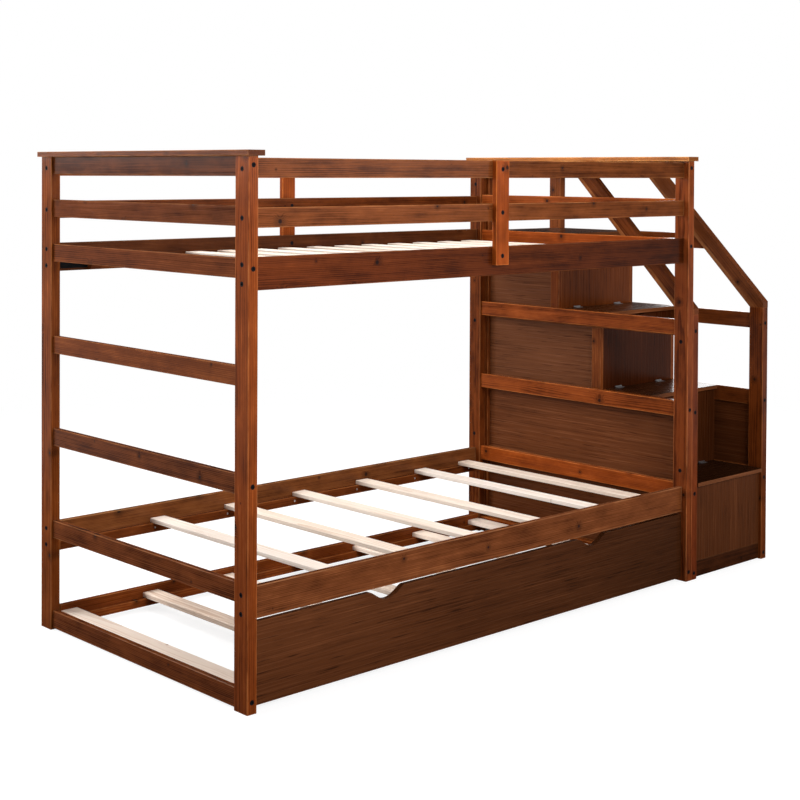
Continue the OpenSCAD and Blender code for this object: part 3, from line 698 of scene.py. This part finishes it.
@dataclass(frozen=True)
class Timber:
    """A CAD node of one or more boards, and the wood and grain that it gets.

    The tone multiplies the wood's colour: partly how the stain took on these boards, partly painted
    light and shade, darker where a board stands in shade and greyer where it catches a sheen. The
    slope is a painted gradient of light: what the tone gains from a board's middle to its far end,
    and loses to the near one. The broad faces are multiplied by the face once more, as painted shade
    on tops that face up.
    """

    node: str
    finish: WoodFinish
    grain: Grain | None = None
    tone: Triple = PLAIN
    slope: float = 0.0
    face: float = 1.0
    lip: tuple[float, float] = (1.4 * MM, 0.8 * MM)
    seed_step: float = 3.7

    def dress(self) -> None:
        """Gives the node's material slots the wood, laid out on its own boards.

        A handrail is cut at a slant, so its half size along and across the grain isn't that of its
        box; its length is put past both ends, which leaves the mitres without end grain.
        """
        boards = boards_of(self.node)
        key = self._apart(boards)
        grain = self.grain or boards[0].grain
        material, desk, shader = blank_material(f"{self.finish.name}_on_{self.node}")
        point = desk.add("ShaderNodeTexCoord").outputs["Object"]
        middles = [self._middle(desk, point, boards, axis, axis if key is None else key)
                   for axis in range(3)]
        middle = desk.join(*middles)
        from_middle = desk.vector("SUBTRACT", point, middle)
        turn = desk.add("ShaderNodeVectorRotate", {"Vector": from_middle},
                        rotation_type="EULER_XYZ")
        turn.inputs["Rotation"].default_value = grain.value
        half = Vector(np.max([board.half for board in boards], axis=0))
        turned = Euler(grain.value, "XYZ").to_matrix() @ half
        if grain is Grain.ALONG_HANDRAIL:
            turned = Vector((HANDRAIL_HALF_LENGTH, boards[0].half[0], HANDRAIL_HALF_WIDTH))
        seed = tuple(Vector(boards[0].centre) * self.seed_step)
        chance = desk.add("ShaderNodeTexWhiteNoise", {"Vector": desk.vector("ADD", middle, seed)},
                          noise_dimensions="3D")
        figure = desk.add("ShaderNodeGroup", node_tree=self.finish.group())
        desk.feed(figure.inputs["Local"], turn.outputs[0])
        desk.feed(figure.inputs["Half"], tuple(abs(part) for part in turned))
        desk.feed(figure.inputs["Chance"], chance.outputs["Color"])
        along = desk.split(turn.outputs[0])[0]
        # Painted light and shade: the slope lightens or darkens the board along its grain, and the
        # face darkens its broad faces.
        share = desk.math("MULTIPLY_ADD", along, self.slope / abs(turned[0]), 1.0)
        thin = int(np.argmin(half))
        out = desk.math("ABSOLUTE", desk.math("SUBTRACT", desk.split(point)[thin], middles[thin]))
        broad = desk.step(out, *(float(half[thin]) - depth for depth in self.lip))
        share = desk.math("MULTIPLY", share, desk.math("MULTIPLY_ADD", broad, self.face - 1.0, 1.0))
        toned = desk.vector("MULTIPLY", figure.outputs["Colour"], self.tone)
        toned = desk.vector("MULTIPLY", toned, desk.join(share, share, share))
        relief = desk.bump(figure.outputs["Height"], self.finish.relief, self.finish.relief_depth)
        desk.feed(shader.inputs["Base Color"], toned)
        desk.feed(shader.inputs["Roughness"], figure.outputs["Roughness"])
        desk.feed(shader.inputs["Normal"], relief)
        shader.inputs["Specular IOR Level"].default_value = self.finish.specular
        paint(self.node, material)
        log.info("%s: %d boards of %s", self.node, len(boards), self.finish.name)

    @staticmethod
    def _apart(boards: list[Board]) -> int | None:
        """The axis along which no two boards overlap.

        Args:
            boards: the node's boards.

        Returns:
            0, 1 or 2, or None where the boards stand in a grid.
        """
        for axis in (2, 0, 1):
            ordered = sorted(boards, key=lambda board: board.low[axis])
            pairs = zip(ordered, ordered[1:])
            if all(low.high[axis] < high.low[axis] + TOUCHING for low, high in pairs):
                return axis
        return None

    @staticmethod
    def _middle(desk: NodeDesk, point: Socket, boards: list[Board], axis: int, key: int) -> Value:
        """The middle, along one axis, of the board that a point lies on.

        Boards with a shared middle need no search. Otherwise the middle is that of the first board
        along the key axis, and each later one adds its step once the point is past halfway to it.

        Args:
            desk: the material's desk.
            point: the point.
            boards: the node's boards.
            axis: the axis of the middle, 0, 1 or 2.
            key: the axis along which the boards are told apart.

        Returns:
            The middle, as a number or a socket.
        """
        centres = [(board.centre[key], board.centre[axis]) for board in boards]
        pairs = np.unique(np.round(centres, 4), axis=0)
        if len(np.unique(pairs[:, 1])) == 1:
            return float(pairs[0, 1])
        along = desk.split(point)[key]
        result: Value = float(pairs[0, 1])
        for (before, low), (after, high) in zip(pairs[:-1], pairs[1:]):
            passed = desk.math("GREATER_THAN", along, float((before + after) / 2))
            result = desk.math("MULTIPLY_ADD", passed, float(high - low), result)
        return result


def paint(node: str, material: bpy.types.Material) -> None:
    """Gives a CAD node one material.

    Args:
        node: the node's name.
        material: the material.
    """
    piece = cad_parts[node]
    if not piece.material_slots:
        piece.data.materials.append(material)
    for slot in piece.material_slots:
        slot.material = material


def grid_faces(rows: int, columns: int) -> np.ndarray:
    """Faces of a grid of points that closes on itself along its columns.

    Args:
        rows: how many rows of points.
        columns: how many points in a row.

    Returns:
        The four corners of each face.
    """
    row = np.arange(rows - 1)[:, None] * columns
    here = np.arange(columns)[None, :]
    after = (here + 1) % columns
    corners = [row + here, row + after, row + columns + after, row + columns + here]
    return np.stack(corners, axis=-1).reshape(-1, 4)


@dataclass(frozen=True)
class Screw:
    """A cross-head screw's head, as far as it shows."""

    radius: float = 3.2 * MM
    dome: float = 0.9 * MM
    skirt: float = 0.5 * MM
    recess: float = 0.7 * MM
    slot_half: float = 0.42 * MM
    cross_share: float = 0.62
    crown_share: float = 0.98
    rings: int = 9
    sectors: int = 24

    def head(self) -> tuple[np.ndarray, np.ndarray]:
        """The head's surface on a grid of rings and sectors, with its axis along +Z.

        A ring's radius is its share of the head's. Height falls from the crown as a part of a
        circle, the cross is cut where a point lies within the slot's half width of either arm, and
        the last ring drops down the skirt.

        Returns:
            The points and the faces.
        """
        share = np.linspace(0.0, 1.0, self.rings)[:, None]
        angle = np.linspace(0.0, FULL_TURN, self.sectors, endpoint=False)[None, :]
        x = share * self.radius * np.cos(angle)
        y = share * self.radius * np.sin(angle)
        z = self.dome * np.sqrt(1 - (share * self.crown_share) ** 2) + 0 * angle
        arm = np.minimum(np.abs(x), np.abs(y)) < self.slot_half
        inside = np.hypot(x, y) < self.radius * self.cross_share
        z = np.where(arm & inside, z - self.recess, z)
        skirt = np.stack([x[-1], y[-1], np.full(self.sectors, -self.skirt)], axis=-1)
        points = np.concatenate([np.stack([x, y, z], axis=-1).reshape(-1, 3), skirt])
        return points, grid_faces(self.rings + 1, self.sectors)


def place_screws(name: str, screw: Screw, spots: np.ndarray, out: Triple, body: str,
                 finish: PlainFinish) -> None:
    """Makes one piece of many screw heads.

    Every head is the same surface, turned to face out and moved to its spot, all as one array.

    Args:
        name: the piece's name.
        screw: the kind of screw.
        spots: where the heads sit, one row each.
        out: the way the heads face.
        body: the body that the screws ride on.
        finish: their metal.
    """
    points, faces = screw.head()
    turn = np.array(Vector(out).to_track_quat("Z", "Y").to_matrix())
    turned = points @ turn.T
    every = (turned[None, :, :] + np.asarray(spots)[:, None, :]).reshape(-1, 3)
    shift = (np.arange(len(spots)) * len(points))[:, None, None]
    all_faces = (faces[None, :, :] + shift).reshape(-1, 4)
    mesh = bpy.data.meshes.new(name)
    mesh.from_pydata(every.tolist(), [], all_faces.tolist())
    mesh.validate()
    mesh.shade_smooth()
    piece = bpy.data.objects.new(name, mesh)
    bpy.context.scene.collection.objects.link(piece)
    mesh.materials.append(finish.material())
    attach(piece, body)
    log.info("%s: %d screws", name, len(spots))


def place_on_both_sides(name: str, screw: Screw, spots: list[np.ndarray], finish: PlainFinish) -> None:
    """Makes two pieces of screw heads, which face inwards from the bed's front and its back.

    Args:
        name: the pieces' name, after front or back.
        screw: the kind of screw.
        spots: rows of places, each all on one side.
        finish: their metal.
    """
    for side, way in (("front", 1), ("back", -1)):
        mine = [rows for rows in spots if rows[0][1] * way < 0]
        place_screws(f"{side}_{name}", screw, np.concatenate(mine), (0, way, 0), ROOT_BODY, finish)


@dataclass
class BedFrame:
    """The posts, caps, rails, guards and stiles of the bunks, with each node's tone."""

    # Painted light in these tones: the caps, the front guards and the back upper rail have green and
    # blue raised as a painted sheen, and the foot cap is raised most, as a painted highlight on its
    # side.
    tones: dict[str, Triple] = field(default_factory=lambda: {
        "head_post_front": (1.38, 1.30, 1.20), "head_post_back": (1.18, 1.22, 1.12),
        "foot_post_front": (1.30, 1.22, 1.30), "foot_post_back": PLAIN,
        "head_cap": (1.30, 1.40, 1.40), "foot_cap": (2.40, 3.40, 3.60),
        "head_end_rails": (0.98, 1.08, 1.30), "foot_end_rails": (1.65, 1.45, 1.15),
        "upper_side_rail_front": (0.62, 0.52, 0.50), "upper_side_rail_back": (0.50, 0.60, 0.85),
        "lower_side_rail_front": (1.00, 1.25, 1.80), "lower_side_rail_back": (1.20, 1.60, 2.10),
        "front_guard_rails": (1.10, 1.20, 1.30), "back_guard_rails": (0.90, 0.90, 0.90),
        "guard_stiles": (1.80, 1.45, 0.95), "slat_ledgers": (0.90, 0.90, 0.90),
    })
    # Painted light: these gradients make the posts lighter towards their tops, and the front upper
    # rail and guards darker towards the staircase, as light falling off.
    light_slopes: dict[str, float] = field(default_factory=lambda: {
        "upper_side_rail_front": -0.50, "front_guard_rails": -0.22,
        "head_post_front": 0.26, "head_post_back": 0.14, "foot_post_front": 0.08,
    })
    bracket_screw: Screw = Screw()
    bracket_sheet: float = 2.5 * MM
    bracket_holes: tuple[float, ...] = (0.35, 0.58)

    def dress(self) -> None:
        """Gives the boards stained wood along their longest sides, and the metal black steel."""
        for node, tone in self.tones.items():
            Timber(node, STAINED_WOOD, tone=tone, slope=self.light_slopes.get(node, 0.0)).dress()
        paint("frame_bolts", BLACK_STEEL.material())
        paint("corner_brackets", BLACK_STEEL.material())

    def build_screws(self) -> None:
        """Sets screws in the corner brackets, at the holes' shares of the long leg's length."""
        spots = []
        for sheet in boards_of("corner_brackets"):
            at_head, at_front = sheet.centre[0] < 0, sheet.centre[1] < 0
            start, way = (sheet.low[0], 1) if at_head else (sheet.high[0], -1)
            y = (sheet.low[1] + self.bracket_sheet if at_front
                 else sheet.high[1] - self.bracket_sheet)
            length = sheet.high[0] - sheet.low[0]
            spots.append(np.array([(start + way * length * share, y, sheet.centre[2])
                                   for share in self.bracket_holes]))
        place_on_both_sides("bracket_screws", self.bracket_screw, spots, BLACK_STEEL)


@dataclass
class Decks:
    """The slats of the two bunks, and the screws that hold the ledgers under them."""

    nodes: tuple[str, ...] = ("upper_slats", "lower_slats")
    screws_per_ledger: int = 7
    end_gap: float = 60 * MM
    screw: Screw = Screw(radius=3.6 * MM)

    def dress(self) -> None:
        """Gives the slats raw pine."""
        for node in self.nodes:
            Timber(node, RAW_PINE).dress()

    def build_screws(self) -> None:
        """Sets a row of screws in the inner face of each ledger."""
        spots = []
        for board in boards_of("slat_ledgers"):
            along = np.linspace(board.low[0] + self.end_gap, board.high[0] - self.end_gap,
                                self.screws_per_ledger)
            inner_y = board.high[1] if board.centre[1] < 0 else board.low[1]
            spots.append(np.stack([along, np.full_like(along, inner_y),
                                   np.full_like(along, board.centre[2])], axis=-1))
        place_on_both_sides("ledger_screws", self.screw, spots, BRIGHT_STEEL)


@dataclass
class Staircase:
    """The staircase: its frame, panels, risers, lids and hinges."""

    # Painted shade: the outer front post is darkened for the shade that falls on its side inside the
    # staircase.
    tones: dict[str, Triple] = field(default_factory=lambda: {
        "stair_post_inner_front": (0.75, 0.58, 0.60), "stair_post_outer_front": (0.78, 0.68, 0.55),
        "stair_post_inner_back": PLAIN, "stair_post_outer_back": PLAIN,
        "inner_top_rail": PLAIN, "outer_top_rail": PLAIN, "inner_side_rails": PLAIN,
        "outer_side_rails": (0.70, 0.70, 0.70), "side_frame_stiles": PLAIN,
        "kick_board": (0.30, 0.34, 0.45), "stair_back_rails": PLAIN,
        "stair_cleats": (0.90, 0.90, 0.90),
    })
    handrail_tones: dict[str, Triple] = field(default_factory=lambda: {
        "inner_handrail": (0.95, 0.95, 0.95), "outer_handrail": (0.60, 0.66, 0.80),
    })
    # Painted shade: the outer side panels are darkened for the shade inside the staircase, which
    # darkens their outer faces as well.
    panel_tones: dict[str, Triple] = field(default_factory=lambda: {
        "inner_side_panels": (1.05, 1.10, 1.20), "outer_side_panels": (0.48, 0.44, 0.42),
    })
    # Painted shade: risers 2 and 3 are darkened for the shade that falls on them between the posts.
    riser_tones: dict[str, Triple] = field(default_factory=lambda: {
        "riser_1": (0.56, 0.54, 0.52), "riser_2": (0.36, 0.30, 0.25),
        "riser_3": (0.32, 0.22, 0.14), "riser_4": (0.90, 0.68, 0.42),
    })
    # Painted shade: the broad tops of the lids, the platform and the bin floors are darkened, lid 1
    # the most, for the shade on surfaces that face up.
    tread_top_shades: dict[str, float] = field(default_factory=lambda: {
        "step_lid_1": 0.12, "step_lid_2": 0.30, "step_lid_3": 0.40, "platform": 0.40,
        "bin_floors": 0.70,
    })
    hinge_nodes: tuple[str, ...] = (
        "riser_hinge_leaves", "lid_hinge_leaves_1", "lid_hinge_leaves_2", "lid_hinge_leaves_3",
    )
    hinge_screw: Screw = Screw(radius=2.2 * MM, dome=0.5 * MM, skirt=0.2 * MM, recess=0.4 * MM)
    leaf_sheet: float = 1.2 * MM
    leaf_screw_x: float = 12 * MM
    leaf_screw_y: float = 6 * MM

    def dress(self) -> None:
        """Gives the frame stained wood, the boards veneer and the hinges bright steel."""
        for node, tone in self.tones.items():
            Timber(node, STAINED_WOOD, tone=tone).dress()
        for node, tone in self.handrail_tones.items():
            Timber(node, STAINED_WOOD, Grain.ALONG_HANDRAIL, tone).dress()
        for node, tone in self.panel_tones.items():
            Timber(node, STAINED_VENEER, Grain.ALONG_Y, tone).dress()
        for node, tone in self.riser_tones.items():
            Timber(node, STAINED_VENEER, Grain.ALONG_Z, tone).dress()
        for node, face in self.tread_top_shades.items():
            Timber(node, STAINED_VENEER, Grain.ALONG_X, face=face).dress()
        for node in self.hinge_nodes:
            paint(node, BRIGHT_STEEL.material())

    def build_screws(self) -> None:
        """Sets two screws in each lid's leaf, beside its middle and in from its front edge."""
        for lid in (1, 2, 3):
            spots = [(leaf.centre[0] + side * self.leaf_screw_x, leaf.low[1] + self.leaf_screw_y,
                      leaf.low[2] + self.leaf_sheet)
                     for leaf in boards_of(f"lid_hinge_leaves_{lid}") for side in (-1, 1)]
            place_screws(f"lid_{lid}_hinge_screws", self.hinge_screw, np.array(spots), (0, 0, 1),
                         f"lid_{lid}", BRIGHT_STEEL)


@dataclass
class Trundle:
    """The pull-out bed: its panel, low frame, slats and castors."""

    frame_nodes: tuple[str, ...] = ("trundle_back_rail", "trundle_end_rails", "trundle_ledgers")
    wheel_nodes: tuple[str, ...] = (
        "castor_wheel_head_front", "castor_wheel_head_back",
        "castor_wheel_foot_front", "castor_wheel_foot_back",
    )
    # Painted light and shade: the panel's slope darkens it towards the staircase end, as light falling
    # off, and the slats' tone lightens them to look lit in the shade under the bed.
    panel_tone: Triple = (0.58, 0.58, 0.58)
    panel_light_slope: float = -0.42
    slat_tone: Triple = (1.10, 1.06, 1.03)

    def dress(self) -> None:
        """Gives the panel veneer, the frame stained wood, the slats pine and the castors theirs."""
        Timber("trundle_front_panel", STAINED_VENEER, Grain.ALONG_X, self.panel_tone,
               self.panel_light_slope).dress()
        for node in self.frame_nodes:
            Timber(node, STAINED_WOOD).dress()
        Timber("trundle_slats", RAW_PINE, tone=self.slat_tone).dress()
        for node in self.wheel_nodes:
            paint(node, GREY_PLASTIC.material())
        paint("castor_axles", BRIGHT_STEEL.material())


@dataclass(frozen=True)
class Softbox:
    """A square studio light."""

    name: str
    place: Triple
    target: Triple
    size: float
    watts: float

    def set_up(self) -> None:
        """Puts the light in the scene, facing its target."""
        lamp = bpy.data.lights.new(self.name, "AREA")
        lamp.shape = "SQUARE"
        lamp.size = self.size
        lamp.energy = self.watts
        holder = bpy.data.objects.new(self.name, lamp)
        holder.visible_camera = False
        holder.location = self.place
        ahead = Vector(self.target) - Vector(self.place)
        holder.rotation_euler = ahead.to_track_quat("-Z", "Y").to_euler()
        bpy.context.scene.collection.objects.link(holder)


@dataclass
class Studio:
    """The floor, the pale surround, the lights and the camera."""

    floor_radius: float = 60.0
    floor_hole: float = 10 * MM
    floor_rings: int = 40
    floor_sectors: int = 96
    floor_mottle: Layer = Layer((3.0, 3.0, 3.0), 3.0, 0.5)
    floor_seen: tuple[float, float] = (0.28, 0.31)
    floor_lit: float = 0.42
    floor_mirrored: float = 0.10
    floor_glow: float = 0.80
    floor_roughness: float = 0.85
    floor_specular: float = 0.20
    fade_start: float = 2.6
    fade_end: float = 4.6
    white: float = 1.0
    dim: float = 0.10
    mirrored: float = 0.05
    lights: tuple[Softbox, ...] = (
        Softbox("left_light", (-4.3, 3.9, 3.2), (-0.2, 0.0, 1.2), 3.4, 335.0),
        Softbox("front_light", (-0.9, -5.2, 2.8), (-0.3, 0.0, 0.9), 1.6, 200.0),
        Softbox("sheen_light", (3.0, -5.2, 2.5), (0.0, 0.0, 1.6), 2.4, 110.0),
        Softbox("top_light", (-0.6, 0.3, 4.6), (0.0, 0.0, 0.0), 2.6, 180.0),
        Softbox("right_light", (5.0, 1.2, 1.5), (1.0, 0.0, 0.9), 2.6, 90.0),
    )
    eye: Triple = (-3.67094, -3.73824, 1.46425)
    yaw: float = 0.75283
    pitch: float = 0.01651
    roll: float = 0.00482
    focal_pixels: float = 1501.7
    centre_pixel_v: float = 195.56
    sensor_width: float = 36.0
    clip_end: float = 200.0

    def build_floor(self) -> None:
        """Lays a round floor, as rings of points whose radius grows as a square."""
        share = np.linspace(0.0, 1.0, self.floor_rings)[:, None]
        radius = share ** 2 * self.floor_radius + self.floor_hole
        angle = np.linspace(0.0, FULL_TURN, self.floor_sectors, endpoint=False)[None, :]
        points = np.stack([radius * np.cos(angle), radius * np.sin(angle), 0 * radius * angle],
                          axis=-1)
        faces = grid_faces(self.floor_rings, self.floor_sectors)
        mesh = bpy.data.meshes.new("studio_floor")
        mesh.from_pydata(points.reshape(-1, 3).tolist(), [], faces.tolist())
        floor = bpy.data.objects.new("studio_floor", mesh)
        bpy.context.scene.collection.objects.link(floor)
        mesh.materials.append(self._floor_material())

    def _floor_material(self) -> bpy.types.Material:
        """Pale paper that turns into the surround's own white further out.

        To the camera the paper glows a little, so that shadows on it stay faint; the bed gets the
        light of a greyer paper, so that its underside keeps its depth.

        Returns:
            The material.
        """
        material, desk, shader = blank_material("studio_paper")
        place = desk.add("ShaderNodeTexCoord").outputs["Object"]
        mottle = desk.math("ADD", desk.noise(place, self.floor_mottle), 0.5)
        path = desk.add("ShaderNodeLightPath").outputs
        seen, mirrored = path["Is Camera Ray"], path["Is Glossy Ray"]
        darker, paler = ((grey,) * 3 for grey in self.floor_seen)
        shade = desk.blend(mottle, darker, paler)
        lit = desk.blend(mirrored, (self.floor_lit,) * 3, (self.floor_mirrored,) * 3)
        desk.feed(shader.inputs["Base Color"], desk.blend(seen, lit, shade))
        desk.feed(shader.inputs["Emission Color"], WHITE)
        desk.feed(shader.inputs["Emission Strength"], desk.math("MULTIPLY", seen, self.floor_glow))
        shader.inputs["Roughness"].default_value = self.floor_roughness
        shader.inputs["Specular IOR Level"].default_value = self.floor_specular
        share = desk.step(desk.length(place), self.fade_start, self.fade_end)
        glow = desk.add("ShaderNodeEmission", {"Color": WHITE, "Strength": self.white})
        mixed = desk.add("ShaderNodeMixShader",
                         {0: share, 1: shader.outputs[0], 2: glow.outputs[0]})
        output = next(node for node in desk.tree.nodes if node.type == "OUTPUT_MATERIAL")
        desk.feed(output.inputs["Surface"], mixed.outputs[0])
        return material

    def light(self) -> None:
        """Sets the surround and the softboxes.

        The surround is white where the camera sees it, and dim where it lights the bed or is
        mirrored in it.
        """
        world = bpy.data.worlds.new("studio_surround")
        world.use_nodes = True
        world.node_tree.nodes.clear()
        desk = NodeDesk(world.node_tree)
        path = desk.add("ShaderNodeLightPath").outputs
        seen, mirrored = path["Is Camera Ray"], path["Is Glossy Ray"]
        strength = desk.math("MULTIPLY_ADD", mirrored, self.mirrored - self.dim, self.dim)
        strength = desk.math("MULTIPLY_ADD", seen, self.white - self.dim, strength)
        background = desk.add("ShaderNodeBackground", {"Color": WHITE, "Strength": strength})
        desk.add("ShaderNodeOutputWorld", {"Surface": background.outputs[0]})
        bpy.context.scene.world = world
        for softbox in self.lights:
            softbox.set_up()

    def aim_camera(self) -> None:
        """Puts the camera where the photograph was taken.

        It looks along its yaw and pitch and is turned about that line by its roll. Its frame is
        shifted down, so that upright posts stay upright.
        """
        camera = bpy.data.cameras.new("photo_camera")
        camera.sensor_width = self.sensor_width
        camera.lens = self.focal_pixels / PIXELS * camera.sensor_width
        camera.shift_y = (self.centre_pixel_v - PIXELS / 2) / PIXELS
        camera.clip_end = self.clip_end
        holder = bpy.data.objects.new("photo_camera", camera)
        right = Vector((math.cos(self.yaw), -math.sin(self.yaw), 0.0))
        ahead = Vector((math.sin(self.yaw) * math.cos(self.pitch),
                        math.cos(self.yaw) * math.cos(self.pitch), -math.sin(self.pitch)))
        up = right.cross(ahead)
        side = math.cos(self.roll) * right + math.sin(self.roll) * up
        top = math.cos(self.roll) * up - math.sin(self.roll) * right
        turn = Matrix((side, top, -ahead)).transposed()
        holder.matrix_world = Matrix.Translation(self.eye) @ turn.to_4x4()
        bpy.context.scene.collection.objects.link(holder)
        bpy.context.scene.camera = holder

    def build(self) -> None:
        """Sets up the whole studio."""
        self.build_floor()
        self.light()
        self.aim_camera()
        bpy.context.scene.view_settings.view_transform = "Standard"
        log.info("studio: %d lights", len(self.lights))


def main() -> None:
    """Dresses the bed part by part, then sets up the studio."""
    logging.basicConfig(level=logging.INFO, format="%(name)s: %(message)s")
    for stray in [thing for thing in bpy.data.objects if thing.type in {"CAMERA", "LIGHT"}]:
        bpy.data.objects.remove(stray)
    bunks, decks, staircase = BedFrame(), Decks(), Staircase()
    bunks.dress()
    bunks.build_screws()
    decks.dress()
    decks.build_screws()
    staircase.dress()
    staircase.build_screws()
    Trundle().dress()
    Studio().build()


if __name__ == "__main__":
    main()
